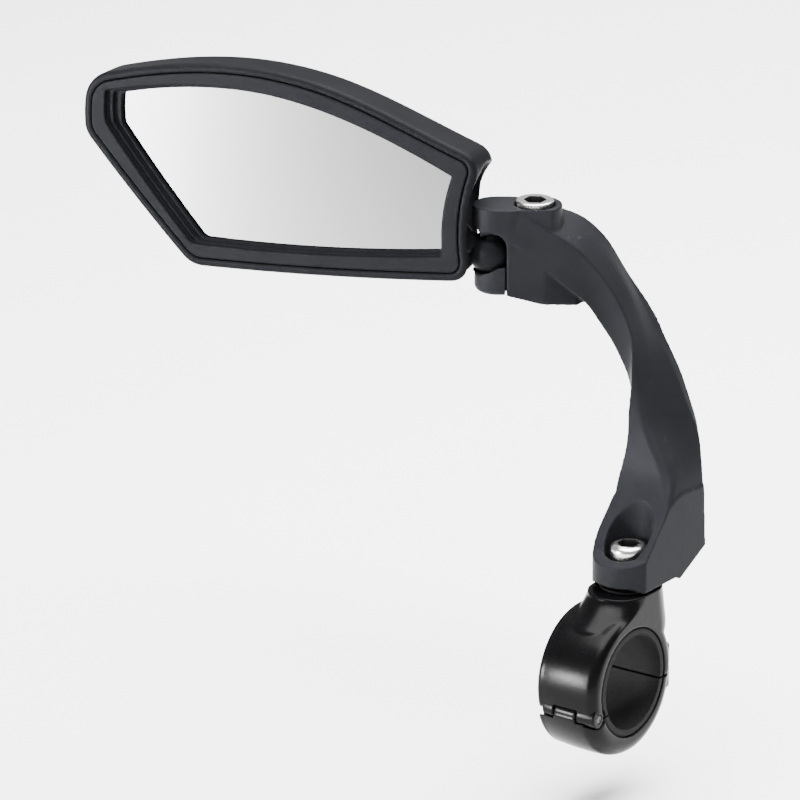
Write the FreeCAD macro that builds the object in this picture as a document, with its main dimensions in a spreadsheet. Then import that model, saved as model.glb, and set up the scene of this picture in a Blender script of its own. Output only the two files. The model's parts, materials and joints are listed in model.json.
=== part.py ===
import FreeCAD
import Part

import math
import os

from FreeCAD import Placement, Rotation, Vector

# Bicycle handlebar mirror.  The handlebar runs along X, Y points forwards and Z up.  The origin lies on the
# handlebar's axis, straight below the front of the neck that carries the swivelling arm.

doc = FreeCAD.newDocument("BikeMirror")

DIMENSIONS = {
    "bar_dia": 22.2,
    "liner_thick": 1.7,
    "clamp_left": 8.6,
    "clamp_right": 7.3,
    "ring_dia": 32.2,
    "strap_dia": 33.6,
    "strap_drop": 0.9,
    "ring_left_round": 1.0,
    "ring_right_round": 2.2,
    "strap_right_round": 3.6,
    "side_round": 1.5,
    "split_gap": 0.5,
    "split_drop": 2.2,
    "hinge_out": 13.75,
    "hinge_drop": 4.6,
    "knuckle_dia": 4.6,
    "knuckle_gap": 0.3,
    "pin_dia": 2.0,
    "pin_play": 0.04,
    "tongue_left": 3.7,
    "tongue_right": 2.1,
    "lug_reach": 17.0,
    "lug_width": 9.6,
    "lug_top": 2.3,
    "lug_bottom": 7.6,
    "clamp_screw_dia": 4.0,
    "clamp_screw_head": 7.0,
    "clamp_screw_swing": 1.1,
    "neck_width": 14.6,
    "neck_top": 19.5,
    "swivel_forward": 8.45,
    "screw_dia": 5.0,
    "screw_head": 8.5,
    "thread_floor": 13.6,
    "friction_thick": 0.4,
    "swivel_play": 0.03,
    "foot_dia": 16.4,
    "foot_right": 7.3,
    "pocket_dia": 10.9,
    "pocket_floor": 24.3,
    "arm_turn": 35.3,
    "head_left": 26.1,
    "head_forward": 8.3,
    "head_top": 105.7,
    "head_width": 11.0,
    "head_reach": 8.6,
    "head_bottom": 83.2,
    "boss_dia": 12.4,
    "seat_top": 101.6,
    "ball_dia": 10.0,
    "ball_out": 10.0,
    "ball_up": 94.2,
    "ball_play": 0.1,
    "cup_thick": 0.7,
    "cup_depth": 4.2,
    "neck_dia": 5.0,
    "jaw_top": 92.0,
    "jaw_bottom": 85.2,
    "jaw_gap": 0.3,
    "mirror_yaw": 11.0,
    "mirror_pitch": 5.0,
    "rim_width": 2.0,
    "rim_front": 8.0,
    "rim_back": -1.0,
    "shell_back": -8.6,
    "shell_wall": 2.2,
    "glass_thick": 2.0,
    "glass_front": 4.5,
    "pad_thick": 0.8,
    "bezel_play": 0.12,
}

sheet = doc.addObject("Spreadsheet::Sheet", "Dims")
for row, (alias, value) in enumerate(DIMENSIONS.items(), start=1):
    sheet.set(f"A{row}", alias)
    sheet.set(f"B{row}", str(value))
    sheet.setAlias(f"B{row}", alias)
doc.recompute()

AXIS_TURN = {
    "x": Rotation(Vector(0, 1, 0), 90),
    "y": Rotation(Vector(1, 0, 0), -90),
    "z": Rotation(),
}


def size(alias):
    """Reads one driving dimension from the sheet."""
    return float(sheet.get(alias))


def formula(text):
    """Writes the sheet's name in front of each of its aliases."""
    words = text.replace("(", " ( ").replace(")", " ) ").split()
    return " ".join("Dims." + word if word in DIMENSIONS else word for word in words)


def bind(item, **sizes):
    for name, text in sizes.items():
        item.setExpression(name, formula(text))


def place(item, base, axis="z"):
    item.Placement = Placement(Vector(), AXIS_TURN[axis])
    for letter, text in zip("xyz", base):
        item.setExpression(f"Placement.Base.{letter}", formula(text))


def cylinder(label, radius, height, base=("0", "0", "0"), axis="z"):
    """A cylinder that starts at base and runs along the axis."""
    item = doc.addObject("Part::Cylinder", label)
    bind(item, Radius=radius, Height=height)
    place(item, base, axis)
    return item


def box(label, length, width, height, base):
    item = doc.addObject("Part::Box", label)
    bind(item, Length=length, Width=width, Height=height)
    place(item, base)
    return item


def sphere(label, radius, base=("0", "0", "0")):
    item = doc.addObject("Part::Sphere", label)
    bind(item, Radius=radius)
    place(item, base)
    return item


def cone(label, radius_1, radius_2, height, base, axis="z"):
    item = doc.addObject("Part::Cone", label)
    bind(item, Radius1=radius_1, Radius2=radius_2, Height=height)
    place(item, base, axis)
    return item


def hexagon(label, across_flats, height, base):
    """A hexagonal prism along Z."""
    item = doc.addObject("Part::Prism", label)
    bind(item, Circumradius=f"{across_flats} / 1.7320508", Height=height)
    place(item, base)
    return item


def fuse(label, *items):
    item = doc.addObject("Part::MultiFuse", label)
    item.Shapes = list(items)
    item.Refine = True
    return item


def common(label, *items):
    """What all the items share."""
    shared = items[0]
    for number, other in enumerate(items[1:], start=1):
        pair = doc.addObject("Part::Common", f"{label}_{number}")
        pair.Base, pair.Tool = shared, other
        shared = pair
    return shared


def cut(label, base, *tools):
    """Takes the tools away from the base, one fused tool at a time."""
    item = doc.addObject("Part::Cut", label)
    item.Base = base
    item.Tool = tools[0] if len(tools) == 1 else fuse(label + "_tools", *tools)
    return item


def feature(label, shape):
    item = doc.addObject("Part::Feature", label)
    item.Shape = shape
    return item


def fillet(label, base, radius, chosen):
    """Rounds the edges of base for which chosen(edge) is true."""
    doc.recompute()
    item = doc.addObject("Part::Fillet", label)
    item.Base = base
    numbers = [number for number, edge in enumerate(base.Shape.Edges, start=1) if chosen(edge)]
    item.Edges = [(number, radius, radius) for number in numbers]
    doc.recompute()
    return item


def chamfer(label, base, width, chosen):
    doc.recompute()
    item = doc.addObject("Part::Chamfer", label)
    item.Base = base
    numbers = [number for number, edge in enumerate(base.Shape.Edges, start=1) if chosen(edge)]
    item.Edges = [(number, width, width) for number in numbers]
    doc.recompute()
    return item


def is_circle(edge, radius):
    return isinstance(edge.Curve, Part.Circle) and abs(edge.Curve.Radius - radius) < 0.01


NODES = {}


def node(name, item, placement=None):
    """Marks an object as one finished piece."""
    item.Label = name
    if placement is not None:
        item.Placement = placement.multiply(item.Placement)
    NODES[name] = item
    return item


def ring_blank(label, radius, drop, right_round):
    """A barrel round the handlebar, rounded lightly on its left edge and more on its right edge."""
    barrel = cylinder(label + "_barrel", radius, "clamp_left + clamp_right",
                      ("0 - clamp_left", "0", f"0 - {drop}"), "x")
    left = fillet(label + "_left", barrel, size("ring_left_round"),
                  lambda edge: isinstance(edge.Curve, Part.Circle) and edge.Curve.Center.x < 0)
    return fillet(label, left, size(right_round), lambda edge: isinstance(edge.Curve, Part.Circle)
                  and abs(edge.Curve.Center.x - size("clamp_right")) < 0.01)


BORE = "bar_dia / 2 + liner_thick"
CLAMP_START = ("0 - clamp_left - 5", "0", "0")
CLAMP_LONG = "clamp_left + clamp_right + 10"
FAR = "60"


def lower_space(label, drop):
    """All space below the split: the handle side starts at the hinge, the other side higher up."""
    front = box(label + "_front", "120", "60", FAR, ("0 - 60", "0 - 60", f"0 - hinge_drop - 60 - {drop}"))
    back = box(label + "_back", "120", "60", FAR, ("0 - 60", "0", f"0 - split_drop - 60 - {drop}"))
    return fuse(label, front, back)


def knuckle(label, radius, start, length):
    return cylinder(label, radius, length, (start, "0 - hinge_out", "0 - hinge_drop"), "x")


def clamp_lug(label, low, height):
    """The ear at the front of the handlebar that the closing screw goes through."""
    ear = box(label + "_block", "lug_width", "lug_reach - 8", height, ("0 - lug_width / 2", "8", low))
    nose = cylinder(label + "_nose", "lug_width / 2", height, ("0", "lug_reach", low))
    return fuse(label, ear, nose)


# The neck from its root inside the ring up to its top: height, how far its front reaches, where its sides begin
# and the centre of its round back.  The front sweeps out onto the ring.
NECK_LEVELS = (
    (6.0, -8.5, -6.0, 8.6), (8.0, -9.0, -6.2, 10.4), (9.5, -9.5, -6.5, 10.8), (13.0, -9.6, -6.8, 10.4),
    (14.8, -7.6, -3.0, 10.1), (16.6, -4.9, 1.6, 9.8), (18.3, -2.9, 4.3, 9.5), (19.5, -2.4, 4.9, 9.4),
)


def clamp_neck():
    """The column that carries the arm."""
    half = size("neck_width") / 2
    wires = []
    for height, front, side, back in NECK_LEVELS:
        front_left, front_right = Vector(-half, side, height), Vector(half, side, height)
        back_left, back_right = Vector(-half, back, height), Vector(half, back, height)
        wires.append(Part.Wire([
            Part.Arc(front_left, Vector(0, front, height), front_right).toShape(),
            Part.makeLine(front_right, back_right),
            Part.Arc(back_right, Vector(0, back + half, height), back_left).toShape(),
            Part.makeLine(back_left, front_left),
        ]))
    return feature("clamp_neck", Part.makeLoft(wires, True, False))


def clamp_body():
    ring = ring_blank("clamp_ring", "ring_dia / 2", "0", "ring_right_round")
    lug = clamp_lug("body_lug", "0 - split_drop", "lug_top + split_drop")
    blank = fuse("clamp_body_blank", ring, clamp_neck(), lug)
    bore = cylinder("clamp_body_bore", BORE, CLAMP_LONG, CLAMP_START, "x")
    halved = cut("clamp_body_half", blank, lower_space("body_split", "0"))
    knuckles = knuckle("body_knuckles", "knuckle_dia / 2", "0 - clamp_left + side_round",
                       "clamp_left + clamp_right - side_round - 0.2")
    jointed = fuse("clamp_body_jointed", halved, knuckles)
    tongue_room = knuckle("tongue_room", "knuckle_dia / 2 + knuckle_gap", "0 - tongue_left - knuckle_gap",
                          "tongue_left + tongue_right + knuckle_gap * 2")
    tongue_slot = box("tongue_slot", "tongue_left + tongue_right + knuckle_gap * 2", "6", "5",
                      ("0 - tongue_left - knuckle_gap", "0 - hinge_out - 3.6", "0 - hinge_drop - 5"))
    pin_hole = knuckle("body_pin_hole", "pin_dia / 2", "0 - 30", FAR)
    # The closing screw's thread in the ear is drawn out forwards, so the hinged strap takes the screw with it.
    near = cylinder("lug_thread_near", "clamp_screw_dia / 2 + 0.05", "30", ("0", "lug_reach", "0 - 10"))
    far = cylinder("lug_thread_far", "clamp_screw_dia / 2 + 0.05", "30",
                   ("0", "lug_reach + clamp_screw_swing", "0 - 10"))
    between = box("lug_thread_between", "clamp_screw_dia + 0.1", "clamp_screw_swing", "30",
                  ("0 - clamp_screw_dia / 2 - 0.05", "lug_reach", "0 - 10"))
    slot = fuse("lug_thread", near, far, between)
    thread = cylinder("swivel_thread", "screw_dia / 2", "20", ("0", "swivel_forward", "thread_floor"))
    return node("clamp_body",
                cut("clamp_body_cut", jointed, bore, tongue_room, tongue_slot, pin_hole, slot, thread))


def clamp_strap():
    ring = ring_blank("strap_ring", "strap_dia / 2", "strap_drop", "strap_right_round")
    lug = clamp_lug("strap_lug", "0 - lug_bottom", "lug_bottom - split_drop - split_gap")
    whole = fuse("strap_blank", ring, lug)
    half = common("strap_half", whole, lower_space("strap_split", "split_gap"))
    room = "knuckle_dia / 2 + knuckle_gap"
    left_room = knuckle("left_knuckle_room", room, "0 - 30", "30 - tongue_left")
    right_room = knuckle("right_knuckle_room", room, "tongue_right", "30")
    opened = cut("strap_opened", half, left_room, right_room)
    tongue = knuckle("strap_tongue", "knuckle_dia / 2", "0 - tongue_left", "tongue_left + tongue_right")
    jointed = fuse("strap_jointed", opened, tongue)
    bore = cylinder("strap_bore", BORE, CLAMP_LONG, CLAMP_START, "x")
    pin_hole = knuckle("strap_pin_hole", "pin_dia / 2 + pin_play", "0 - 30", FAR)
    screw_hole = cylinder("strap_screw_hole", "clamp_screw_dia / 2 + 0.02", "30",
                          ("0", "lug_reach", "0 - 20"))
    spot_face = cylinder("strap_spot_face", "4.6", "20", ("0", "lug_reach", "0 - lug_bottom - 20"))
    return node("clamp_strap", cut("clamp_strap_cut", jointed, bore, pin_hole, screw_hole, spot_face))


def hinge_pin():
    rod = knuckle("hinge_pin_rod", "pin_dia / 2", "0 - clamp_left + side_round - 0.1",
                  "clamp_left + clamp_right - side_round + 0.1")
    doc.recompute()
    return node("hinge_pin", chamfer("hinge_pin_ends", rod, 0.25,
                                     lambda edge: is_circle(edge, size("pin_dia") / 2)))


def liners():
    """The rubber sleeve between clamp and handlebar, split with the clamp and clear of its hinge."""
    for name, keep, drop in (("upper_liner", cut, "0"), ("lower_liner", common, "split_gap")):
        tube = cylinder(name + "_tube", BORE, "clamp_left + clamp_right - 0.6",
                        ("0.05 - clamp_left", "0", "0"), "x")
        edge = cone(name + "_edge", BORE, f"{BORE} - 0.5", "0.5", ("clamp_right - 0.55", "0", "0"), "x")
        hole = cylinder(name + "_hole", "bar_dia / 2", CLAMP_LONG, CLAMP_START, "x")
        hinge_room = knuckle(name + "_hinge_room", "knuckle_dia / 2 + knuckle_gap", "0 - 30", FAR)
        sleeve = cut(name + "_sleeve", fuse(name + "_blank", tube, edge), hole, hinge_room)
        node(name, keep(name + "_part", sleeve, lower_space(name + "_split", drop)))


def cap_screw(name, head_radius, head_height, shank_radius, shank_length, socket, placement, dome=0.8):
    """A socket cap screw along Z: the head stands on the plane z = 0 and the shank hangs below it."""
    head = cylinder(name + "_head", head_radius, head_height)
    shank = cylinder(name + "_shank", shank_radius, shank_length, ("0", "0", f"0 - ( {shank_length} )"))
    doc.recompute()
    top = head.Shape.BoundBox.ZMax
    rounded = fillet(name + "_rounded", head, dome,
                     lambda edge: isinstance(edge.Curve, Part.Circle) and abs(edge.Curve.Center.z - top) < 0.01)
    tip = chamfer(name + "_tip", shank, 0.4, lambda edge: isinstance(edge.Curve, Part.Circle)
                  and edge.Curve.Center.z < -1)
    key = hexagon(name + "_socket", socket, "10", ("0", "0", f"{head_height} * 0.35"))
    lead = cone(name + "_socket_lead", f"{socket} / 2 - 0.4", f"{socket} / 2 + 1.6", "2",
                ("0", "0", f"{head_height} - 1.2"))
    return node(name, cut(name + "_cut", fuse(name + "_body", rounded, tip), key, lead), placement)


def ring_washer(name, outer, inner, thick, placement):
    disc = cylinder(name + "_disc", outer, thick)
    hole = cylinder(name + "_hole", inner, "20", ("0", "0", "0 - 5"))
    return node(name, cut(name + "_cut", disc, hole), placement)


def clamp_fasteners():
    under_lug = Placement(Vector(0, size("lug_reach"), -size("lug_bottom") - 0.8),
                          Rotation(Vector(1, 0, 0), 180))
    cap_screw("clamp_screw", "clamp_screw_head / 2", "4", "clamp_screw_dia / 2",
              "lug_bottom + lug_top + 0.6", "3", under_lug, dome=0.5)
    washer_base = Placement(Vector(0, size("lug_reach"), -size("lug_bottom") - 0.8), Rotation())
    ring_washer("clamp_screw_washer", "4.4", "clamp_screw_dia / 2", "0.8", washer_base)


def swivel_fasteners():
    on_neck = Placement(Vector(0, size("swivel_forward"), size("neck_top")), Rotation())
    ring_washer("friction_washer", "6.6", "screw_dia / 2 + 0.2", "friction_thick", on_neck)
    on_floor = Placement(Vector(0, size("swivel_forward"), size("pocket_floor")), Rotation())
    ring_washer("spring_washer", "4.9", "screw_dia / 2 + 0.2", "0.7", on_floor)
    seat = Placement(Vector(0, size("swivel_forward"), size("pocket_floor") + 0.7 + size("swivel_play")),
                     Rotation())
    cap_screw("swivel_screw", "screw_head / 2", "4.6", "screw_dia / 2",
              "pocket_floor + 0.6 - thread_floor", "4.4", seat, dome=1.5)


# The arm's head has its own frame: its origin is under the ball clamp's screw, "out" points towards the ball,
# and the arm runs away from the ball along positive a.
ARM_FRAME = Placement(Vector(-size("head_left"), size("head_forward"), 0),
                      Rotation(Vector(0, 0, 1), size("arm_turn")))

# Cross-sections of the arm's upper part, in the head's frame.  Each has six corners: the front crease, the soft
# ridge, the two sides of the narrow outer edge, the back edge and the inner edge.
UPPER_SECTIONS = (
    ((-6.5, -4.6, 103.9), (-6.5, 0.0, 104.2), (-6.5, 4.6, 104.2),
     (-6.5, 4.8, 103.5), (-6.5, 4.8, 91.0), (-6.5, -4.6, 97.5)),
    ((-0.9, -5.42, 103.2), (0.0, 0.0, 104.3), (0.5, 5.4, 104.9),
     (0.5, 5.42, 104.0), (-1.0, 5.42, 89.0), (-2.7, -5.42, 96.3)),
    ((4.7, -5.42, 99.9), (6.2, 0.0, 101.8), (6.7, 5.4, 102.8),
     (7.4, 5.6, 101.6), (4.0, 5.42, 87.0), (3.5, -5.42, 90.7)),
    ((9.7, -5.42, 96.3), (11.9, 0.0, 98.3), (13.0, 5.4, 99.4),
     (13.7, 5.7, 98.2), (8.5, 5.42, 84.0), (8.6, -5.4, 86.2)),
    ((13.4, -5.42, 92.3), (16.2, -0.4, 93.4), (17.8, 5.0, 93.2),
     (18.4, 5.8, 92.6), (12.3, 5.6, 80.5), (12.5, -4.0, 82.0)),
    ((17.1, -5.3, 87.0), (20.5, -0.6, 86.7), (22.0, 4.4, 85.6),
     (22.7, 5.9, 85.2), (16.5, 5.8, 76.0), (15.0, -2.5, 77.6)),
    ((20.2, -5.0, 80.9), (23.6, -0.9, 79.4), (25.8, 3.6, 78.1),
     (27.1, 5.8, 78.4), (20.6, 6.0, 70.5), (17.6, -1.4, 73.0)),
    ((21.9, -4.6, 74.9), (25.6, -1.3, 72.8), (28.6, 2.9, 71.9),
     (30.4, 5.2, 71.2), (24.0, 6.0, 65.5), (19.7, -0.5, 68.2)),
    ((22.1, -4.2, 69.4), (26.0, -2.0, 67.2), (31.6, 2.1, 65.9),
     (33.2, 4.6, 65.0), (27.2, 6.0, 60.6), (21.2, 0.4, 64.2)),
    ((21.9, -3.8, 64.0), (24.8, -3.6, 61.4), (33.9, 1.3, 59.8),
     (35.1, 3.8, 59.6), (30.0, 6.0, 56.0), (22.2, 1.2, 60.0)),
    ((21.5, -3.5, 59.3), (25.0, -4.9, 56.4), (35.8, 0.7, 55.0),
     (36.5, 3.0, 55.2), (32.2, 5.9, 52.2), (23.0, 2.0, 55.6)),
    ((21.2, -3.3, 52.6), (27.2, -7.4, 51.2), (37.7, 0.0, 49.7),
     (37.6, 1.4, 49.0), (33.2, 4.2, 47.6), (23.9, 2.8, 50.0)),
)
# The same corners further down, where the arm grows out of its foot, in the object's own frame.
LOWER_SECTIONS = (
    ((-7.5, 17.2, 46.2), (4.4, 17.2, 46.2), (5.9, 29.4, 44.4),
     (5.2, 29.9, 44.0), (0.7, 30.2, 43.4), (-8.0, 25.7, 44.8)),
    ((-7.9, 15.3, 40.6), (6.7, 15.3, 40.6), (6.8, 28.7, 39.9),
     (6.0, 29.0, 39.7), (-1.0, 29.1, 39.4), (-8.0, 26.3, 40.0)),
    ((-7.8, 12.4, 36.0), (7.2, 12.4, 36.0), (7.2, 28.3, 36.0),
     (6.4, 28.5, 36.0), (-5.0, 28.5, 36.0), (-8.0, 26.2, 36.0)),
)
# How far the ridge is rounded off, as a share of the two sides that meet there, for the lowest sections.
RIDGE_SHARES = (0.24, 0.12, 0.03)


def rounded_section(corners, share):
    """The section with its ridge corner replaced by three corners of a soft bend."""
    front, ridge, outer = corners[:3]
    start, end = ridge + (front - ridge) * share, ridge + (outer - ridge) * share
    return [front, start, (start + end) * 0.25 + ridge * 0.5, end, outer] + corners[3:]


def arm_blade():
    """The curved arm in the head's frame."""
    to_head = ARM_FRAME.inverse()
    upper = [rounded_section([Vector(*corner) for corner in section], 0.3) for section in UPPER_SECTIONS]
    lower = [rounded_section([to_head.multVec(Vector(*corner)) for corner in section], share)
             for section, share in zip(LOWER_SECTIONS, RIDGE_SHARES)]
    wires = [Part.makePolygon(section + section[:1]) for section in upper + lower]
    return feature("arm_blade", Part.makeLoft(wires, True, False))


def arm_foot():
    """The block round the swivel screw: one side profile, drawn across the arm's width, with a round front."""
    low = size("neck_top") + size("friction_thick") + size("swivel_play")
    profile = (
        (0.0, low + 1.3), (2.2, low + 1.3), (4.4, low), (17.4, low), (18.9, low - 0.7),
        (29.2, 24.4), (28.5, 39.1),
        (24.6, 39.2), (19.6, 39.6), (16.5, 38.9), (14.0, 37.6), (9.4, 32.75), (4.85, 27.7), (0.0, 26.0),
    )
    left, right = -size("foot_dia") / 2, size("foot_right")
    wire = Part.makePolygon([Vector(left, y, z) for y, z in profile + profile[:1]])
    block = feature("foot_block", Part.Face(wire).extrude(Vector(right - left, 0, 0)))
    disc = cylinder("foot_front", "foot_dia / 2", "60", ("0", "swivel_forward", "0"))
    rear = box("foot_rear", "foot_dia + 2", "60", "60", ("0 - foot_dia / 2 - 1", "swivel_forward", "0"))
    return common("arm_foot", block, fuse("foot_outline", disc, rear))


def head_skirt():
    """The wall below the arm's head: it hides the jaw's inner end and narrows towards the arm."""
    reach = size("head_width") / 2 - 0.15
    plan = ((-6.4, -reach), (2.2, -reach), (9.5, -3.0), (11.5, 0.5), (9.5, 5.0), (-6.4, reach))
    side = ((-6.4, 85.3), (1.4, size("head_bottom") + 0.1), (12.0, 82.0), (12.0, 89.0), (4.0, 97.0),
            (-6.4, 101.0))
    flat = Part.makePolygon([Vector(a, p, 80) for a, p in plan + plan[:1]])
    upright = Part.makePolygon([Vector(a, -10, z) for a, z in side + side[:1]])
    return common("head_skirt", feature("skirt_plan", Part.Face(flat).extrude(Vector(0, 0, 25))),
                  feature("skirt_side", Part.Face(upright).extrude(Vector(0, 20, 0))))


def stadium(label, start, end, width, low, height):
    """A prism whose plan is a slot from start to end along the arm's own a axis."""
    half = f"( {width} ) / 2"
    near = cylinder(label + "_near", half, height, (start, "0", low))
    far = cylinder(label + "_far", half, height, (end, "0", low))
    span = box(label + "_span", f"( {end} ) - ( {start} )", width, height, (start, f"0 - {half}", low))
    return fuse(label, near, far, span)


def arm():
    # Over the ball only the cap stays solid; the skirt starts right of the ball and hides the jaw's inner end.
    cap = stadium("head_cap", "0 - head_reach", "0 - 6", "head_width", "ball_up + 1.6",
                  "head_top - ball_up - 1.6")
    bridge = box("head_bridge", "8", "head_width - 1.2", "8", ("0 - 8", "0.6 - head_width / 2", "head_top - 8"))
    boss = cylinder("head_boss", "boss_dia / 2", "head_top - 96", ("0", "0", "96"))
    boss_side = box("head_boss_side", "40", "head_width - 0.6", "40", ("0 - 20", "0.6 - head_width / 2", "80"))
    solid = fuse("head_solid", arm_blade(), cap, bridge, head_skirt(), common("boss", boss, boss_side))
    ball_at = ("0 - ball_out", "0", "ball_up")
    socket = sphere("ball_socket", "ball_dia / 2 + cup_thick + ball_play * 2", ball_at)
    arch_low = "ball_up + 2.4"
    arches = []
    for side, start in (("front", "0 - 8"), ("rear", "3.3")):
        arches.append(cylinder(f"{side}_arch", "3.6", "4.7", ("0 - ball_out", start, arch_low), "y"))
        arches.append(box(f"{side}_arch_foot", "7.2", "4.7", "9",
                          ("0 - ball_out - 3.6", start, "ball_up - 6.6")))
    arches.append(cylinder("end_arch", "4.9", "5.0", ("0 - ball_out - 7.4", "0", "ball_up + 2.5"), "x"))
    jaw_room = stadium("jaw_room", "0 - 10", "2.6", "8.8", "head_bottom - 2", "96.5 - head_bottom")
    jaw_reach = box("jaw_reach", "14", "8.8", "30", ("0 - 6.5", "0 - 4.4", "70"))
    left_room = box("ball_room", "12", "30", "12.4", ("0 - 6.4 - 12", "0 - 15", "head_bottom"))
    hole = cylinder("clamp_screw_hole", "screw_dia / 2 + 0.15", "60", ("0", "0", "70"))
    counterbore = cylinder("head_counterbore", "screw_head / 2 + 0.45", "20", ("0", "0", "seat_top"))
    rooms = [common("jaw_cavity", jaw_room, jaw_reach), left_room, hole, counterbore, socket] + arches
    head = cut("arm_head", solid, *rooms)
    head.Placement = ARM_FRAME
    blank = fuse("arm_blank", head, arm_foot())
    floor = ("0", "swivel_forward", "pocket_floor")
    pocket = cylinder("screw_pocket", "pocket_dia / 2", "60", floor)
    bore = cylinder("swivel_bore", "screw_dia / 2 + 0.05", "60", ("0", "swivel_forward", "0"))
    return node("arm", cut("arm_cut", blank, pocket, bore))


def ball_clamp():
    """The jaw under the ball, its screw, washer and nut."""
    outer = stadium("jaw_outer", "0 - head_reach + 0.3", "2", "head_width - 0.3", "jaw_bottom",
                    "jaw_top - jaw_bottom")
    outer_side = box("jaw_outer_side", "12", "30", "30", ("0 - 6.4 - jaw_gap - 12", "0 - 15", "70"))
    doc.recompute()
    cup_block = common("jaw_cup_block", outer, outer_side)
    rounded = fillet("jaw_rounded", cup_block, 1.6,
                     lambda edge: isinstance(edge.Curve, Part.Circle)
                     and abs(edge.Curve.Center.z - size("jaw_bottom")) < 0.01)
    tail = stadium("jaw_tail", "0 - 9", "1.6", "8.0", "jaw_bottom + 1", "jaw_top - jaw_bottom - 1.6")
    ball_at = ("0 - ball_out", "0", "ball_up")
    socket = sphere("jaw_socket", "ball_dia / 2 + cup_thick + ball_play * 2", ball_at)
    hole = cylinder("jaw_screw_hole", "screw_dia / 2 + 0.15", "60", ("0", "0", "70"))
    nut_room = hexagon("nut_room", "8", "3.2", ("0", "0", "jaw_bottom"))
    jaw = cut("jaw_cut", fuse("jaw_body", rounded, tail), socket, hole, nut_room)
    node("ball_jaw", jaw, ARM_FRAME)
    nut_at = ARM_FRAME.multiply(Placement(Vector(0, 0, size("jaw_bottom") + 0.2), Rotation()))
    nut = cut("ball_clamp_nut_cut", hexagon("nut_blank", "8", "3.0", ("0", "0", "0")),
              cylinder("nut_thread", "screw_dia / 2 + 0.05", "20", ("0", "0", "0 - 5")))
    node("ball_clamp_nut", nut, nut_at)
    washer_at = ARM_FRAME.multiply(Placement(Vector(0, 0, size("seat_top")), Rotation()))
    ring_washer("ball_clamp_washer", "4.6", "screw_dia / 2", "0.5", washer_at)
    seat = ARM_FRAME.multiply(Placement(Vector(0, 0, size("seat_top") + 0.5), Rotation()))
    cap_screw("ball_clamp_screw", "screw_head / 2", "4.6", "screw_dia / 2", "16.6", "4", seat, dome=0.7)


def ball_cups():
    """Two thin friction cups between the ball and its sockets."""
    centre = ARM_FRAME.multiply(Placement(Vector(-size("ball_out"), 0, size("ball_up")), Rotation()))
    # The upper cup stops short of the ball's neck, which leaves the ball on that side.
    for name, left, low in (("upper_ball_cup", "1.0", "cup_depth"),
                            ("lower_ball_cup", "10", "0 - cup_depth - 10")):
        outside = sphere(name + "_outside", "ball_dia / 2 + ball_play + cup_thick")
        inside = sphere(name + "_inside", "ball_dia / 2 + ball_play")
        zone = box(name + "_zone", "20", "20", "10", (f"0 - {left}", "0 - 10", low))
        node(name, common(name + "_cap", cut(name + "_shell", outside, inside), zone), centre)


# The mirror head has its own frame: its origin is the ball's centre, x runs along the glass towards the arm,
# y up the glass, and z out of the glass towards the rider.
YAW, PITCH = math.radians(size("mirror_yaw")), math.radians(size("mirror_pitch"))
OUT_OF_GLASS = Vector(math.sin(YAW) * math.cos(PITCH), -math.cos(YAW) * math.cos(PITCH), math.sin(PITCH))
ALONG_GLASS = Vector(math.cos(YAW), math.sin(YAW), 0)
BALL_CENTRE = ARM_FRAME.multVec(Vector(-size("ball_out"), 0, size("ball_up")))
MIRROR_FRAME = Placement(BALL_CENTRE, Rotation(ALONG_GLASS, Vector(), OUT_OF_GLASS, "ZXY"))

# Outline of the seam between rim and bezel: corners, their radii, and a point that each side passes through.
SEAM_CORNERS = ((-96.7, 28.2), (-2.3, 21.2), (-3.6, -3.9), (-70.3, -9.2), (-96.9, 17.6))
SEAM_RADII = (5.5, 2.6, 2.6, 5.0, 4.0)
SEAM_SIDES = (
    ((-79.9, 32.5), (-60.0, 34.8), (-39.5, 32.9), (-20.0, 27.2)),
    ((-4.9, 8.4),),
    ((-36.7, -7.2),),
    ((-84.2, 4.3),),
    ((-97.2, 23.0),),
)
# Outline of the visible glass.
GLASS_CORNERS = ((-90.5, 26.4), (-7.8, 17.9), (-9.7, 0.2), (-69.0, -4.8), (-90.2, 19.2))
GLASS_RADII = (0.8, 0.9, 0.8, 2.4, 1.6)
GLASS_SIDES = (
    ((-81.0, 28.6), (-61.0, 30.6), (-41.0, 28.7), (-24.0, 24.1)),
    ((-9.8, 8.4),),
    ((-40.0, -3.4),),
    ((-79.8, 6.9),),
    ((-90.6, 23.0),),
)


def side_edge(start, end, through):
    """One side of an outline: an arc through one point, or a smooth curve through several."""
    if len(through) == 1:
        return Part.Arc(start, through[0], end).toShape()
    curve = Part.BSplineCurve()
    curve.interpolate([start] + list(through) + [end])
    return curve.toShape()


def outward(edge, point):
    """The outline's outward normal at a point of one side; the outline runs clockwise."""
    along = edge.tangentAt(edge.Curve.parameter(point))
    return Vector(-along.y, along.x, 0)


def outline(corners, radii, sides, grow=0.0):
    """A closed outline in the plane z = 0 with curved sides and rounded corners, grown outwards all round."""
    points = [Vector(x, y, 0) for x, y in corners]
    ways = [[Vector(x, y, 0) for x, y in through] for through in sides]
    edges = [side_edge(*side) for side in zip(points, points[1:] + points[:1], ways)]
    grown = []
    for number, point in enumerate(points):
        before, after = outward(edges[number - 1], point), outward(edges[number], point)
        grown.append(point + (before + after) * (grow / (1 + before.dot(after))))
    ways = [[point + outward(edge, point) * grow for point in through] for edge, through in zip(edges, ways)]
    edges = [side_edge(*side) for side in zip(grown, grown[1:] + grown[:1], ways)]
    prism = Part.Face(Part.Wire(edges)).extrude(Vector(0, 0, 1))
    for point, radius in zip(grown, radii):
        upright = [edge for edge in prism.Edges
                   if all(math.hypot(v.X - point.x, v.Y - point.y) < 1e-4 for v in edge.Vertexes)]
        prism = prism.makeFillet(max(radius + grow, 0.3), upright)
    return min(prism.Faces, key=lambda face: face.CenterOfMass.z).OuterWire


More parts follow.
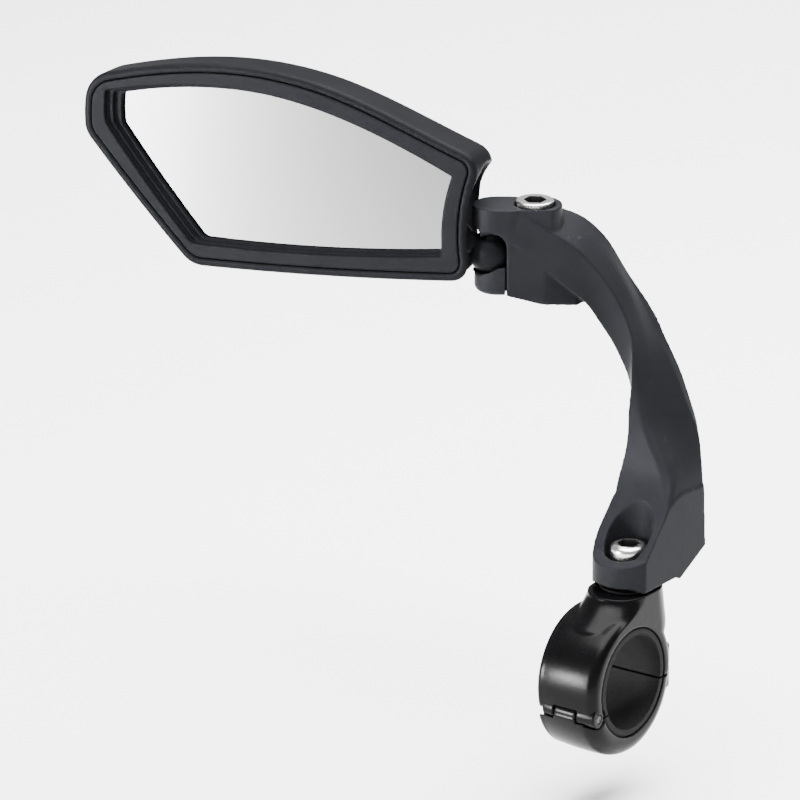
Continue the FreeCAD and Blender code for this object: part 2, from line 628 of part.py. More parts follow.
def seam_outline(grow=0.0):
    return outline(SEAM_CORNERS, SEAM_RADII, SEAM_SIDES, grow)


def prism_of(wire, low, high):
    face = Part.Face(wire)
    face.translate(Vector(0, 0, low))
    return face.extrude(Vector(0, 0, high - low))


def scaled(wire, factor, centre, height):
    """The outline drawn in or out about a centre point, and moved to a height."""
    matrix = FreeCAD.Matrix()
    matrix.move(Vector(-centre[0], -centre[1], 0))
    matrix.scale(factor, factor, 1)
    matrix.move(Vector(centre[0], centre[1], height))
    return wire.transformGeometry(matrix)


SHELL_CENTRE = (-50.0, 13.0)
# The way the ball's neck leaves the ball, and the outline of the thin web below it.
NECK_WAY = Vector(-5.2, 2.9, 2.6).normalize()
WEB_CORNERS = ((-6.5, -5.6), (-4.2, -4.6), (-2.6, -2.4), (-2.9, 1.2), (-6.5, 3.0))


def pocket_floor():
    return size("glass_front") - size("glass_thick") - size("pad_thick")


def glass_pocket():
    """The room inside the rim for pad, glass and bezel."""
    return prism_of(seam_outline(), pocket_floor(), size("rim_front") + 5)


def ball_neck():
    """The cylinder that joins the ball to the housing; it ends at the wall of the glass pocket."""
    return Part.makeCylinder(size("neck_dia") / 2, 8.4, Vector(), NECK_WAY).cut(glass_pocket())


def dome(wire, top, bottom):
    """The rounded back of the shell: the outline shrinks as it goes back."""
    steps = ((0.0, 1.0), (0.42, 0.975), (0.76, 0.90), (0.94, 0.79), (1.0, 0.68))
    wires = [scaled(wire, factor, SHELL_CENTRE, top + (bottom - top) * depth) for depth, factor in steps]
    return Part.makeLoft(wires, True, False)


def mirror_housing():
    rim = seam_outline(size("rim_width"))
    front, back, deep = size("rim_front"), size("rim_back"), size("shell_back")
    outer = prism_of(rim, back, front).fuse(dome(rim, back, deep)).removeSplitter()
    lip = [edge for edge in outer.Edges if all(abs(v.Z - front) < 1e-4 for v in edge.Vertexes)]
    outer = outer.makeFillet(0.9, lip)
    wall = size("shell_wall")
    inner = seam_outline(-wall)
    cavity = prism_of(inner, back, pocket_floor() + 1).fuse(dome(inner, back, deep + wall))
    # The shell is scooped out round the ball clamp, and a fairing carries the ball's neck.
    scoop = Part.makeCylinder(7.4, 26.5, Vector(0, -13, 0), Vector(0, 1, 0))
    scoop_round = Part.makeSphere(7.4, Vector(0, 13.5, 0))
    fairing = Part.makeCone(2.5, 4.0, 2.8, NECK_WAY * 6.0, NECK_WAY)
    web = prism_of(Part.makePolygon([Vector(*p, 0) for p in WEB_CORNERS + WEB_CORNERS[:1]]), 1.6, 6.4)
    solid = outer.cut(scoop).cut(scoop_round).fuse([fairing, web])
    ball_room = Part.makeSphere(6.1)
    jaw_room = Part.makeCylinder(6.3, 12, Vector(0, -13, 0), Vector(0, 1, 0))
    solid = solid.cut([glass_pocket(), cavity, ball_room, jaw_room, ball_neck()])
    solid = solid.removeSplitter()
    node("mirror_housing", feature("mirror_housing_shell", solid), MIRROR_FRAME)


def ball_stud():
    """The ball and its neck; the neck's root is moulded into the housing's fairing."""
    ball = Part.makeSphere(size("ball_dia") / 2)
    stud = ball.fuse(ball_neck()).removeSplitter()
    return node("ball_stud", feature("ball_stud_shape", stud), MIRROR_FRAME)


def front_bezel():
    play, front = size("bezel_play"), size("rim_front")
    ring = prism_of(seam_outline(-play), size("glass_front"), front)
    window = outline(GLASS_CORNERS, GLASS_RADII, GLASS_SIDES)
    steps = ((1.0, size("glass_front") - 1, front), (1.028, 5.6, front), (1.055, 6.7, front + 1))
    for factor, low, high in steps:
        ring = ring.cut(prism_of(scaled(window, factor, (-31.8, 16.0), 0), low, high))
    node("front_bezel", feature("front_bezel_ring", ring), MIRROR_FRAME)


def glass_and_pad():
    front, thick = size("glass_front"), size("glass_thick")
    glass = prism_of(seam_outline(-1.0), front - thick, front)
    node("mirror_glass", feature("mirror_glass_plate", glass), MIRROR_FRAME)
    pad = prism_of(seam_outline(-2.0), front - thick - size("pad_thick"), front - thick)
    node("glass_pad", feature("glass_pad_sheet", pad), MIRROR_FRAME)


def mirror_head():
    ball_stud()
    mirror_housing()
    front_bezel()
    glass_and_pad()


clamp_body()
clamp_strap()
hinge_pin()
liners()
clamp_fasteners()
swivel_fasteners()
arm()
ball_clamp()
ball_cups()
mirror_head()
doc.recompute()


def check_and_write():
    bad = [item.Label for item in doc.Objects if {"Invalid", "Error"} & set(item.State)]
    for name, item in NODES.items():
        if item.Shape.isNull() or not item.Shape.isValid() or not item.Shape.Solids:
            bad.append(name)
    if bad:
        raise RuntimeError("these objects failed: " + ", ".join(bad))
    os.makedirs("parts", exist_ok=True)
    for name, item in NODES.items():
        item.Shape.exportStep(f"parts/{name}.step")
        bounds = item.Shape.BoundBox
        print(f"{name}: {len(item.Shape.Solids)} solid, {item.Shape.Volume:.1f} mm3,",
              f"x {bounds.XMin:.1f}..{bounds.XMax:.1f} y {bounds.YMin:.1f}..{bounds.YMax:.1f}",
              f"z {bounds.ZMin:.1f}..{bounds.ZMax:.1f}")


check_and_write()
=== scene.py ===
import json
import math

import bmesh
import bpy
import numpy as np
from mathutils import Matrix, Vector

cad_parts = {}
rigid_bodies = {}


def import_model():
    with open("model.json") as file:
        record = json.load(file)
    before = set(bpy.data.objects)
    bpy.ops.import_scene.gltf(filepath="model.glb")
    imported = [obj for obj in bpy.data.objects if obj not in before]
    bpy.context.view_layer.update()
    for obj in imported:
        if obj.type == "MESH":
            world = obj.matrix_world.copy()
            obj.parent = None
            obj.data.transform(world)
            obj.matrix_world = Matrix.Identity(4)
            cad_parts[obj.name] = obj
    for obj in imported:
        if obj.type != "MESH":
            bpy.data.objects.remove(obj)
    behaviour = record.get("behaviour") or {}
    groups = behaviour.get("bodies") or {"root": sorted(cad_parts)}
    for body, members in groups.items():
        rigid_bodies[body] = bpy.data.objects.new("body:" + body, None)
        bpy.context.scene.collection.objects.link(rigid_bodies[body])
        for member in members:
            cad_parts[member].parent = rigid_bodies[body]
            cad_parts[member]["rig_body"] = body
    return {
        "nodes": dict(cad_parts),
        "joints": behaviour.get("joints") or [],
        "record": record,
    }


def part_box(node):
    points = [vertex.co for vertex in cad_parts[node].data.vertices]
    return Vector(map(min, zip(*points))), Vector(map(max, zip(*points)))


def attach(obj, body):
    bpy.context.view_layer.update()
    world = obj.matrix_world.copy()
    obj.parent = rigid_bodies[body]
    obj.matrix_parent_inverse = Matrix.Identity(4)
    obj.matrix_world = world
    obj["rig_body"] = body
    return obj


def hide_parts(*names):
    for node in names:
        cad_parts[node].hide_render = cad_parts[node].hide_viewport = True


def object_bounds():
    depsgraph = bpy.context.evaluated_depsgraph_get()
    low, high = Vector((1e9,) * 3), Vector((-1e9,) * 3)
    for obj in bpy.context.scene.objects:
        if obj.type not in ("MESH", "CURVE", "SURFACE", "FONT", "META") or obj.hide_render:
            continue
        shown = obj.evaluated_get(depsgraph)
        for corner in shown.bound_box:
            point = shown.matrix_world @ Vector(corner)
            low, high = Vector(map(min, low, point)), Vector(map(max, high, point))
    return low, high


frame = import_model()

cad_low, cad_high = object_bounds()
MM = 0.001


# ---------------------------------------------------------------- materials

# Where Geometry's pointiness, 0.5 on a plane, begins to mean a convex edge.
EDGE_POINTINESS = 0.56


def new_material(name):
    material = bpy.data.materials.new(name)
    material.use_nodes = True
    tree = material.node_tree
    return material, tree, tree.nodes["Principled BSDF"]


def object_noise(tree, scale, detail=2.0, roughness=0.5):
    """Noise fixed to the piece; scale is in cycles per metre."""
    place = tree.nodes.new("ShaderNodeTexCoord")
    noise = tree.nodes.new("ShaderNodeTexNoise")
    noise.inputs["Scale"].default_value = scale
    noise.inputs["Detail"].default_value = detail
    noise.inputs["Roughness"].default_value = roughness
    tree.links.new(place.outputs["Object"], noise.inputs["Vector"])
    return noise.outputs["Fac"]


def ramp(tree, source, stops):
    item = tree.nodes.new("ShaderNodeValToRGB")
    for element, (position, colour) in zip(item.color_ramp.elements, stops):
        element.position = position
        element.color = (*colour, 1.0)
    tree.links.new(source, item.inputs["Fac"])
    return item.outputs["Color"]


def level(tree, source, low, high):
    """Maps 0..1 onto low..high."""
    item = tree.nodes.new("ShaderNodeMapRange")
    item.inputs["To Min"].default_value = low
    item.inputs["To Max"].default_value = high
    tree.links.new(source, item.inputs["Value"])
    return item.outputs["Result"]


def bump(tree, source, strength, height, below=None):
    """Relief from a texture; height is in mm, and below is a coarser relief to add it to."""
    item = tree.nodes.new("ShaderNodeBump")
    item.inputs["Strength"].default_value = strength
    item.inputs["Distance"].default_value = height * MM
    tree.links.new(source, item.inputs["Height"])
    if below is not None:
        tree.links.new(below, item.inputs["Normal"])
    return item.outputs["Normal"]


def edge_wear_and_highlight(tree, base, edge, width):
    """The base colour, a little lighter along the convex edges: partly wear that hands and moulds polish,
    partly a painted edge highlight.
    """
    surface = tree.nodes.new("ShaderNodeNewGeometry")
    sharp = tree.nodes.new("ShaderNodeMapRange")
    sharp.inputs["From Min"].default_value = EDGE_POINTINESS
    sharp.inputs["From Max"].default_value = EDGE_POINTINESS + width
    tree.links.new(surface.outputs["Pointiness"], sharp.inputs["Value"])
    mix = tree.nodes.new("ShaderNodeMix")
    mix.data_type = "RGBA"
    colours = [socket for socket in mix.inputs if socket.type == "RGBA"]
    tree.links.new(sharp.outputs["Result"], mix.inputs["Factor"])
    tree.links.new(base, colours[0])
    colours[1].default_value = (*edge, 1.0)
    return next(socket for socket in mix.outputs if socket.type == "RGBA")


def moulded_plastic(name, tones, rough, grain):
    """Glass-filled nylon with a fine spark-eroded grain, cloudy in colour and sheen.

    tones are its darkest and lightest colour and that of its worn edges, which also carry a painted edge
    highlight.
    """
    material, tree, shader = new_material(name)
    dark, light, edge = tones
    colour = ramp(tree, object_noise(tree, 90.0, 3.0), ((0.3, dark), (0.7, light)))
    # Convex edges are lighter: partly wear, partly a painted edge highlight.
    tree.links.new(edge_wear_and_highlight(tree, colour, edge, 0.12), shader.inputs["Base Color"])
    grains = object_noise(tree, 2600.0, 2.0, 0.55)
    tree.links.new(level(tree, grains, rough - 0.06, rough + 0.08), shader.inputs["Roughness"])
    ripple = bump(tree, object_noise(tree, 500.0), 0.12, 0.2)
    tree.links.new(bump(tree, grains, grain, 0.06, ripple), shader.inputs["Normal"])
    shader.inputs["Specular IOR Level"].default_value = 0.03
    shader.inputs["Specular Tint"].default_value = (0.88, 0.91, 1.0, 1.0)
    return material


def lacquered_metal(name, base, rough, orange_peel):
    """Black anodised aluminium under a thin lacquer with a trace of orange peel."""
    material, tree, shader = new_material(name)
    dark, light = (tuple(share * part for part in base) for share in (0.8, 1.2))
    colour = ramp(tree, object_noise(tree, 140.0, 3.0), ((0.35, dark), (0.65, light)))
    # Convex edges are a lighter grey: partly wear, partly a painted edge highlight.
    tree.links.new(edge_wear_and_highlight(tree, colour, (0.012, 0.012, 0.013), 0.2), shader.inputs["Base Color"])
    sheen = level(tree, object_noise(tree, 1500.0), rough - 0.04, rough + 0.05)
    tree.links.new(sheen, shader.inputs["Roughness"])
    tree.links.new(bump(tree, object_noise(tree, 420.0), orange_peel, 0.2), shader.inputs["Normal"])
    shader.inputs["Specular IOR Level"].default_value = 0.055
    shader.inputs["Coat Weight"].default_value = 0.01
    shader.inputs["Coat Roughness"].default_value = 0.15
    return material


def black_rubber(name):
    """Dull black rubber, also used for foam and plain plastic washers."""
    material, tree, shader = new_material(name)
    fine = object_noise(tree, 1800.0, 3.0)
    colour = ramp(tree, fine, ((0.3, (0.003, 0.003, 0.003)), (0.75, (0.007, 0.007, 0.0072))))
    tree.links.new(colour, shader.inputs["Base Color"])
    tree.links.new(level(tree, fine, 0.62, 0.8), shader.inputs["Roughness"])
    tree.links.new(bump(tree, fine, 0.25, 0.1), shader.inputs["Normal"])
    shader.inputs["Specular IOR Level"].default_value = 0.08
    return material


def stainless(name, bright, rough):
    """Turned stainless steel: fine tool marks and a slightly uneven sheen."""
    material, tree, shader = new_material(name)
    marks = object_noise(tree, 3000.0, 3.0, 0.6)
    colour = ramp(tree, marks, ((0.3, tuple(0.86 * part for part in bright)), (0.7, bright)))
    tree.links.new(colour, shader.inputs["Base Color"])
    shader.inputs["Metallic"].default_value = 1.0
    tree.links.new(level(tree, marks, rough - 0.06, rough + 0.08), shader.inputs["Roughness"])
    tree.links.new(bump(tree, marks, 0.08, 0.05), shader.inputs["Normal"])
    return material


def silvered_glass(name):
    """Silvered glass with a dark tint and the faintest haze of dust."""
    material, tree, shader = new_material(name)
    dust = object_noise(tree, 900.0, 4.0, 0.7)
    colour = ramp(tree, dust, ((0.0, (0.23, 0.232, 0.234)), (1.0, (0.245, 0.247, 0.249))))
    tree.links.new(colour, shader.inputs["Base Color"])
    shader.inputs["Metallic"].default_value = 1.0
    tree.links.new(level(tree, dust, 0.015, 0.03), shader.inputs["Roughness"])
    return material


# The third tone of each is the edge colour: partly wear, partly a painted edge highlight.
ARM_TONES = (0.0076, 0.0079, 0.0091), (0.0094, 0.0097, 0.0112), (0.014, 0.0145, 0.0165)
HEAD_TONES = (0.0038, 0.0039, 0.0046), (0.0050, 0.0052, 0.0060), (0.007, 0.0073, 0.0083)

SLOT_MATERIAL = {
    "arm_plastic": moulded_plastic("arm_plastic", ARM_TONES, rough=0.46, grain=0.25),
    "housing_plastic": moulded_plastic("housing_plastic", HEAD_TONES, rough=0.44, grain=0.22),
    "bezel_plastic": moulded_plastic("bezel_plastic", HEAD_TONES, rough=0.42, grain=0.18),
    "black_metal": lacquered_metal("black_metal", (0.0015, 0.0015, 0.0017), rough=0.25, orange_peel=0.15),
    "rubber": black_rubber("rubber"),
    "steel": stainless("steel", (0.80, 0.79, 0.77), rough=0.22),
    "dark_steel": stainless("dark_steel", (0.05, 0.05, 0.05), rough=0.35),
    "washer_plastic": black_rubber("washer_plastic"),
    "mirror": silvered_glass("mirror"),
    "foam": black_rubber("foam"),
}
SOCKET_SHADOW = stainless("socket_shadow", (0.03, 0.03, 0.03), rough=0.5)

NODE_SLOT = {part["node"]: part["material_slot"] for part in frame["record"]["subparts"]}
NODE_BODY = {name: item["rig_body"] for name, item in frame["nodes"].items()}

for name, item in frame["nodes"].items():
    item.data.materials.clear()
    item.data.materials.append(SLOT_MATERIAL[NODE_SLOT[name]])


# ---------------------------------------------------------------- mesh helpers

def placed(name, data):
    item = bpy.data.objects.new(name, data)
    bpy.context.scene.collection.objects.link(item)
    return item


def applied(item):
    """Gives an object the mesh that its modifiers make, and clears them."""
    graph = bpy.context.evaluated_depsgraph_get()
    mesh = bpy.data.meshes.new_from_object(item.evaluated_get(graph))
    item.modifiers.clear()
    item.data = mesh


def shade_smooth(item):
    item.data.polygons.foreach_set("use_smooth", [True] * len(item.data.polygons))


def melted(item, voxel, passes, slot):
    """Wraps an object in one skin of voxels, smooths it until no edge is sharp, and gives it its material."""
    skin = item.modifiers.new("skin", "REMESH")
    skin.mode = "VOXEL"
    skin.voxel_size = voxel * MM
    smooth = item.modifiers.new("smooth", "SMOOTH")
    smooth.factor = 0.5
    smooth.iterations = passes
    applied(item)
    item.data.materials.clear()
    item.data.materials.append(SLOT_MATERIAL[slot])
    shade_smooth(item)


def stand_in(item, node):
    """Puts a piece in a CAD node's place, on its body."""
    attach(item, NODE_BODY[node])
    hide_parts(node)


def crowned(mesh):
    """Turns a clamp casting's plain outside into a barrel, 0.45 mm lower at its edges than at its middle.

    The clamp's axis is the X axis. Its bore, and its side with the closing ear, stay as they are.
    """
    bore_side, skin, middle, half_width, depth = 14.6 * MM, 1.8 * MM, 1.0 * MM, 8.0 * MM, 0.45 * MM
    fade_from, fade = 2.0 * MM, 6.0 * MM
    co = np.empty(len(mesh.vertices) * 3)
    mesh.vertices.foreach_get("co", co)
    co = co.reshape(-1, 3)
    radius = np.hypot(co[:, 1], co[:, 2])
    outside = np.clip((radius - bore_side) / skin, 0, 1) * np.clip((fade_from - co[:, 1]) / fade, 0, 1)
    across = np.clip(np.abs(co[:, 0] - middle) / half_width, 0, 1)
    co[:, 1:] *= (1 - depth * outside * across ** 2 / np.maximum(radius, MM))[:, None]
    mesh.vertices.foreach_set("co", co.ravel())
    mesh.update()


def softened(name, node, voxel, passes, shape=None):
    """A copy of a CAD node with every edge rounded off as moulding or tumbling leaves it."""
    piece = placed(name, frame["nodes"][node].data.copy())
    melted(piece, voxel, passes, NODE_SLOT[node])
    if shape:
        shape(piece.data)
    stand_in(piece, node)


softened("arm_moulding", "arm", 0.28, 4)
softened("clamp_body_casting", "clamp_body", 0.22, 6, crowned)
softened("clamp_strap_casting", "clamp_strap", 0.22, 6, crowned)
softened("bezel_moulding", "front_bezel", 0.17, 4)
softened("jaw_moulding", "ball_jaw", 0.2, 5)


# ---------------------------------------------------------------- housing
# The housing is drawn in the mirror's own axes, in mm: the origin is the ball's centre, X runs along the glass
# towards the arm, Y up the glass and Z out of it.

JOINT = {joint["name"]: joint for joint in frame["joints"]}
BALL = Vector(JOINT["ball_nod"]["pos_m"])
ALONG = Vector(JOINT["ball_nod"]["axis"]).normalized()
OUT = Vector(JOINT["ball_swing"]["axis"]).normalized()
UP = OUT.cross(ALONG)
FROM_MIRROR = Matrix.Translation(BALL) @ Matrix((ALONG, UP, OUT)).transposed().to_4x4()

RIM_FRONT, RIM_SIDE, RIM_BACK, SHELL_BACK = 8.0, 3.0, -1.0, -8.6
RIM_WIDTH, RIM_ROUND, RIM_CHAMFER = 2.0, 1.0, 0.35
SEAT_FLOOR, SEAT_LIP, SEAT_INSET = 1.7, 6.5, 0.45
SEAM_HEIGHT, SEAM_POINTS = 7.5, 400
SHELL_MIDDLE, SHELL_DRAW = np.array([-50.0, 13.0]), 0.34
SCOOP_RADIUS, SCOOP_BOTTOM, SCOOP_TOP = 7.4, -13.0, 13.5
NECK_WAY = Vector((-5.2, 2.9, 2.6)).normalized()
NECK_NARROW, NECK_WIDE, NECK_LENGTH, NECK_MIDDLE = 2.5, 4.3, 4.0, 8.0


def loops_at(node, height):
    """The closed outlines, longest first, where a plane parallel to the glass cuts a CAD node, in mm."""
    mesh = bmesh.new()
    mesh.from_mesh(frame["nodes"][node].data)
    mesh.transform(FROM_MIRROR.inverted())
    bmesh.ops.remove_doubles(mesh, verts=mesh.verts, dist=1e-7)
    geometry = mesh.verts[:] + mesh.edges[:] + mesh.faces[:]
    bmesh.ops.bisect_plane(mesh, geom=geometry, plane_co=(0, 0, height * MM), plane_no=(0, 0, 1),
                           clear_inner=True, clear_outer=True)

    def place(vert):
        return vert.co.x, vert.co.y

    def length(points):
        return np.linalg.norm(points - np.roll(points, 1, axis=0), axis=1).sum()

    left = set(mesh.verts)
    loops = []
    while left:
        here = min(left, key=place)
        chain = [here]
        left.discard(here)
        while True:
            onward = [edge.other_vert(here) for edge in here.link_edges if edge.other_vert(here) in left]
            if not onward:
                break
            here = min(onward, key=place)
            left.discard(here)
            chain.append(here)
        loops.append(np.array([place(vert) for vert in chain]) / MM)
    mesh.free()
    return sorted(loops, key=length, reverse=True)


def evenly(points, count):
    """A closed outline with count points at equal steps, anticlockwise from its rightmost point."""
    x, y = points[:, 0], points[:, 1]
    if (x * np.roll(y, -1) - y * np.roll(x, -1)).sum() < 0:
        points = points[::-1]
    points = np.roll(points, -int(np.argmax(points[:, 0])), axis=0)
    ring = np.vstack([points, points[:1]])
    along = np.concatenate([[0], np.cumsum(np.linalg.norm(np.diff(ring, axis=0), axis=1))])
    steps = np.linspace(0, along[-1], count, endpoint=False)
    return np.stack([np.interp(steps, along, ring[:, k]) for k in (0, 1)], 1)


def shifted(points, distance):
    """The outline moved outwards by a small distance."""
    tangent = np.roll(points, -1, axis=0) - np.roll(points, 1, axis=0)
    tangent /= np.linalg.norm(tangent, axis=1)[:, None]
    return points + distance * np.stack([tangent[:, 1], -tangent[:, 0]], 1)


def level_ring(points, height):
    return np.column_stack([points, np.full(len(points), height)])


def quarter(steps):
    """The angles of a quarter turn."""
    return np.linspace(0, math.pi / 2, steps)


def closed_skin(name, rings):
    """A closed mesh through rings of equal length, in mm; its first and last rings are capped."""
    count, rows = len(rings[0]), len(rings)
    verts = [Vector(point) * MM for ring in rings for point in ring]
    faces = []
    for start in range(0, (rows - 1) * count, count):
        for k in range(count):
            after = (k + 1) % count
            faces.append((start + k, start + after, start + count + after, start + count + k))
    faces.append(tuple(reversed(range(count))))
    faces.append(tuple(range((rows - 1) * count, rows * count)))
    mesh = bpy.data.meshes.new(name)
    mesh.from_pydata(verts, [], faces)
    mesh.update()
    made = bmesh.new()
    made.from_mesh(mesh)
    bmesh.ops.recalc_face_normals(made, faces=made.faces)
    made.to_mesh(mesh)
    made.free()
    return placed(name, mesh)


def solid_of(name, make, **options):
    """A closed shape from one of bmesh's create operators, with its options in metres."""
    made = bmesh.new()
    make(made, **options)
    mesh = bpy.data.meshes.new(name)
    made.to_mesh(mesh)
    made.free()
    return placed(name, mesh)


def combine(base, tool, operation):
    """Joins the tool to the base or cuts it away, and removes the tool."""
    step = base.modifiers.new(operation, "BOOLEAN")
    step.operation = operation
    step.solver = "EXACT"
    step.object = tool
    bpy.context.view_layer.update()
    applied(base)
    bpy.data.objects.remove(tool)


def turned_to(way):
    """The rotation that turns the Z axis to a direction."""
    return Vector((0, 0, 1)).rotation_difference(Vector(way)).to_matrix().to_4x4()


def make_housing():
    """A domed shell with the bezel's seat in front and a scoop at its end that the ball clamp turns in."""
    seam = evenly(loops_at("mirror_housing", SEAM_HEIGHT)[1], SEAM_POINTS)
    seat, outer = shifted(seam, -SEAT_INSET), shifted(seam, RIM_WIDTH)
    rings = [level_ring(seat, SEAT_FLOOR), level_ring(seat, SEAT_LIP), level_ring(seam, SEAT_LIP + 0.1),
             level_ring(seam, RIM_FRONT - RIM_CHAMFER), level_ring(shifted(seam, 0.3), RIM_FRONT)]
    for turn in quarter(7):
        edge = shifted(outer, RIM_ROUND * (math.sin(turn) - 1))
        rings.append(level_ring(edge, RIM_FRONT + RIM_ROUND * (math.cos(turn) - 1)))
    rings.append(level_ring(outer, RIM_SIDE))
    for turn in quarter(24):
        drawn_in = outer + (SHELL_MIDDLE - outer) * SHELL_DRAW * (1 - math.cos(turn))
        rings.append(level_ring(drawn_in, RIM_BACK + (SHELL_BACK - RIM_BACK) * math.sin(turn)))
    shell = closed_skin("housing_moulding", rings)

    scoop_middle = Matrix.Translation(Vector((0, (SCOOP_BOTTOM + SCOOP_TOP) / 2, 0)) * MM)
    scoop = solid_of("scoop", bmesh.ops.create_cone, matrix=scoop_middle @ turned_to((0, 1, 0)), cap_ends=True,
                     segments=96, radius1=SCOOP_RADIUS * MM, radius2=SCOOP_RADIUS * MM,
                     depth=(SCOOP_TOP - SCOOP_BOTTOM) * MM)
    combine(shell, scoop, "DIFFERENCE")
    scoop_end = solid_of("scoop_end", bmesh.ops.create_uvsphere, u_segments=96, v_segments=48,
                         radius=SCOOP_RADIUS * MM, matrix=Matrix.Translation(Vector((0, SCOOP_TOP, 0)) * MM))
    combine(shell, scoop_end, "DIFFERENCE")
    neck_middle = Matrix.Translation(NECK_WAY * NECK_MIDDLE * MM)
    neck_fairing = solid_of("neck_fairing", bmesh.ops.create_cone, matrix=neck_middle @ turned_to(NECK_WAY),
                            cap_ends=True, segments=64, radius1=NECK_NARROW * MM, radius2=NECK_WIDE * MM,
                            depth=NECK_LENGTH * MM)
    combine(shell, neck_fairing, "UNION")
    shell.data.transform(FROM_MIRROR)
    melted(shell, 0.3, 8, NODE_SLOT["mirror_housing"])
    stand_in(shell, "mirror_housing")


make_housing()


# ---------------------------------------------------------------- screws
# Lengths are in mm.

HEAD_RADIUS, HEAD_HEIGHT, HEAD_FOOT = 4.25, 4.6, 0.35
SHANK_RADIUS, THREAD_DEPTH = 2.5, 0.16
SOCKET_ACROSS, SOCKET_DEPTH = 4.4, 2.4
KNURL_DEPTH, KNURL_TEETH = 0.2, 45


def circle(radii, turns, height):
    """Points about Z; radii is one radius or one for each turn."""
    return np.column_stack([radii * np.cos(turns), radii * np.sin(turns), np.full(len(turns), height)])


def lathe(name, profile, segments, knurl=None, socket=False):
    """A turned piece about Z through (radius, height) pairs, in mm, lowest first.

    knurl is the lowest and highest height of the knurled part. socket sinks a hexagon socket into the top, and
    the socket's faces get the second material.
    """
    turns = np.arange(segments) * 2 * math.pi / segments
    top = profile[-1][1]
    rings = []
    for radius, height in profile:
        radii = np.full(segments, radius)
        if knurl and knurl[0] <= height <= knurl[1]:
            radii = radii - KNURL_DEPTH * (0.5 + 0.5 * np.cos(turns * KNURL_TEETH))
        rings.append(circle(radii, turns, height))
    if socket:
        wall = SOCKET_ACROSS / 2 / np.cos((turns + math.pi / 6) % (math.pi / 3) - math.pi / 6)
        for spread, depth in ((1.06, 0.02), (1.0, 0.3), (1.0, SOCKET_DEPTH)):
            rings.append(circle(wall * spread, turns, top - depth))
        rings.append(circle(0.3, turns, top - SOCKET_DEPTH - 0.5))
    item = closed_skin(name, rings)
    if socket:
        ceiling, floor_below = (top - 0.15) * MM, (top - 0.15 - SOCKET_DEPTH - 1.0) * MM
        for face in item.data.polygons:
            x, y, z = face.center
            if floor_below < z < ceiling and math.hypot(x, y) < 0.62 * SOCKET_ACROSS * MM:
                face.material_index = 1
    shade_smooth(item)
    return item


def cap_screw(name, node, crown, knurled=False):
    """A socket-head screw in a CAD screw's place, with its top and its tip at the CAD screw's ends.

    crown is the radius of the head's upper edge. Heights are measured from the head's top.
    """
    low, high = (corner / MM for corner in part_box(node))
    centre = (low + high) / 2
    tip, seat = low.z - high.z, -HEAD_HEIGHT
    thread = np.arange(tip + 0.8, seat - 0.4, 0.2)
    side = np.linspace(seat + 0.5, -crown, 6)
    profile = [(0.4, tip), (SHANK_RADIUS - 0.4, tip), (SHANK_RADIUS, tip + 0.4)]
    profile += [(SHANK_RADIUS - THREAD_DEPTH * (step % 4 > 1), height) for step, height in enumerate(thread)]
    profile += [(SHANK_RADIUS, seat - 0.1), (SHANK_RADIUS, seat)]
    profile += [(HEAD_RADIUS - HEAD_FOOT, seat), (HEAD_RADIUS, seat + HEAD_FOOT)]
    profile += [(HEAD_RADIUS, height) for height in side]
    profile += [(HEAD_RADIUS - crown * (1 - math.cos(turn)), -crown * (1 - math.sin(turn)))
                for turn in quarter(8)[1:]]
    profile.append((SOCKET_ACROSS / 2 * 1.16 + 0.35, -0.03))
    item = lathe(name, profile, 180, knurled and (side[0] + 0.2, side[-1]), socket=True)
    item.data.transform(Matrix.Translation(Vector((centre.x, centre.y, high.z)) * MM))
    item.data.materials.append(SLOT_MATERIAL["steel"])
    item.data.materials.append(SOCKET_SHADOW)
    crease = item.modifiers.new("crease", "EDGE_SPLIT")
    crease.split_angle = math.radians(38)
    stand_in(item, node)


def riveted_pin(name, node):
    """The hinge pin with its two ends spun over into shallow rivet heads."""
    low, high = (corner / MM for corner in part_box(node))
    radius, half = (high.z - low.z) / 2, (high.x - low.x) / 2
    end = [(radius, half - 0.45), (radius - 0.12, half - 0.15), (radius - 0.4, half),
           (radius * 0.5, half - 0.1)]
    start = [(r, -height) for r, height in reversed(end)]
    shaft = [(radius, height) for height in np.linspace(-half + 0.6, half - 0.6, 9)]
    item = lathe(name, start + shaft + end, 64)
    item.data.transform(Matrix.Translation((low + high) / 2 * MM) @ Matrix.Rotation(math.pi / 2, 4, "Y"))
    item.data.materials.append(SLOT_MATERIAL["dark_steel"])
    stand_in(item, node)


riveted_pin("hinge_pin_riveted", "hinge_pin")
cap_screw("swivel_screw_turned", "swivel_screw", crown=1.5)
cap_screw("ball_clamp_screw_turned", "ball_clamp_screw", crown=0.4, knurled=True)


# ---------------------------------------------------------------- stage

# Lengths are in metres, apart from the camera's.
FLOOR_REACH, FLOOR_GAP = 6.0, 0.012


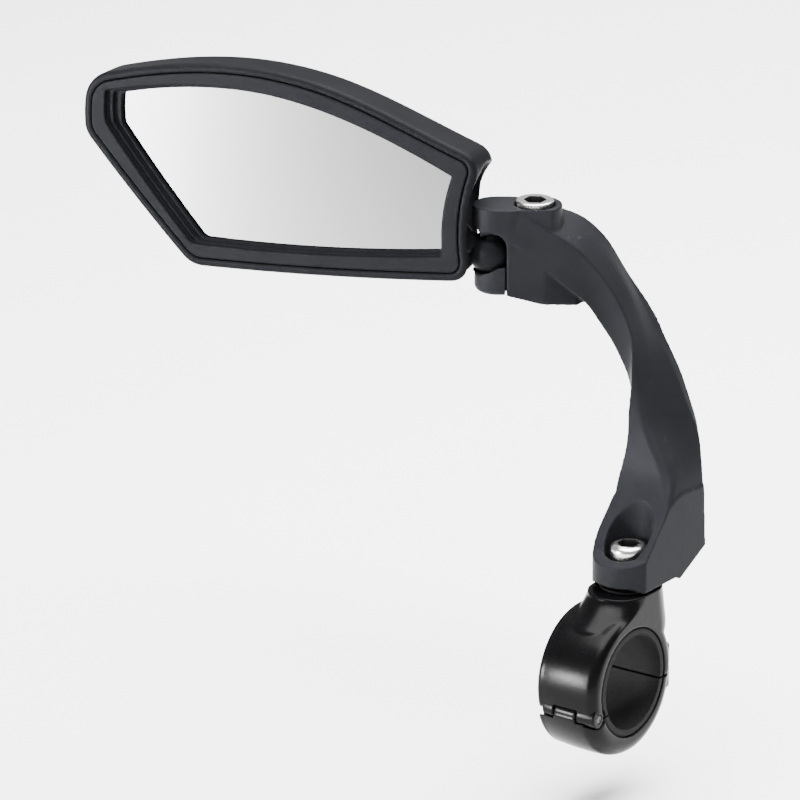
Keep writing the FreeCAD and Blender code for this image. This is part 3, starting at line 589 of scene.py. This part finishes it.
def look_at(item, target):
    item.rotation_mode = "QUATERNION"
    item.rotation_quaternion = (Vector(target) - item.location).to_track_quat("-Z", "Y")


def softbox(name, place, width, height, power):
    """A rectangular light that shines straight down until it is turned."""
    light = bpy.data.lights.new(name, "AREA")
    light.shape = "RECTANGLE"
    light.size, light.size_y = width, height
    light.energy = power
    item = placed(name, light)
    item.location = place
    return item


camera = bpy.data.cameras.new("camera")
camera.lens = 396.4
camera.sensor_width = 36.0
camera.clip_end = 50.0
view = placed("camera", camera)
view.location = Vector((1037.7, -1546.7, 733.1)) * MM
look_at(view, Vector((-50.5, -9.9, 58.9)) * MM)
bpy.context.scene.camera = view

floor_level = cad_low.z - FLOOR_GAP
corners = [(x * FLOOR_REACH, y * FLOOR_REACH, floor_level) for x, y in ((-1, -1), (1, -1), (1, 1), (-1, 1))]
floor_mesh = bpy.data.meshes.new("floor")
floor_mesh.from_pydata(corners, [], [(0, 1, 2, 3)])
floor = placed("floor", floor_mesh)
paint, tree, shader = new_material("floor_paint")
shader.inputs["Base Color"].default_value = (0.9, 0.9, 0.9, 1)
shader.inputs["Roughness"].default_value = 0.9
shader.inputs["Specular IOR Level"].default_value = 0.1
floor_mesh.materials.append(paint)

world = bpy.data.worlds.new("studio")
bpy.context.scene.world = world
world.use_nodes = True
background = world.node_tree.nodes["Background"]
background.inputs["Color"].default_value = (1, 1, 1, 1)
background.inputs["Strength"].default_value = 0.5

middle = (cad_low + cad_high) / 2
look_at(softbox("overhead", (0.0, 0.2, 0.8), 0.9, 1.2, 62), (0.0, 0.2, 0.0))
look_at(softbox("key", (0.0, -0.55, 1.1), 0.5, 0.5, 6), middle)
front = softbox("front", (-0.70, -1.10, 0.13), 0.2, 0.26, 3.4)
front.data.spread = math.radians(50)
look_at(front, middle)

# A long light just above the floor ahead. The glass reflects the floor beside it, brightest at its left end.
strip = softbox("strip", (-0.402, -0.915, cad_low.z + 0.03), 0.04, 1.2, 42)
strip.rotation_euler = (0, 0, math.radians(-13.4))

bpy.context.view_layer.update()
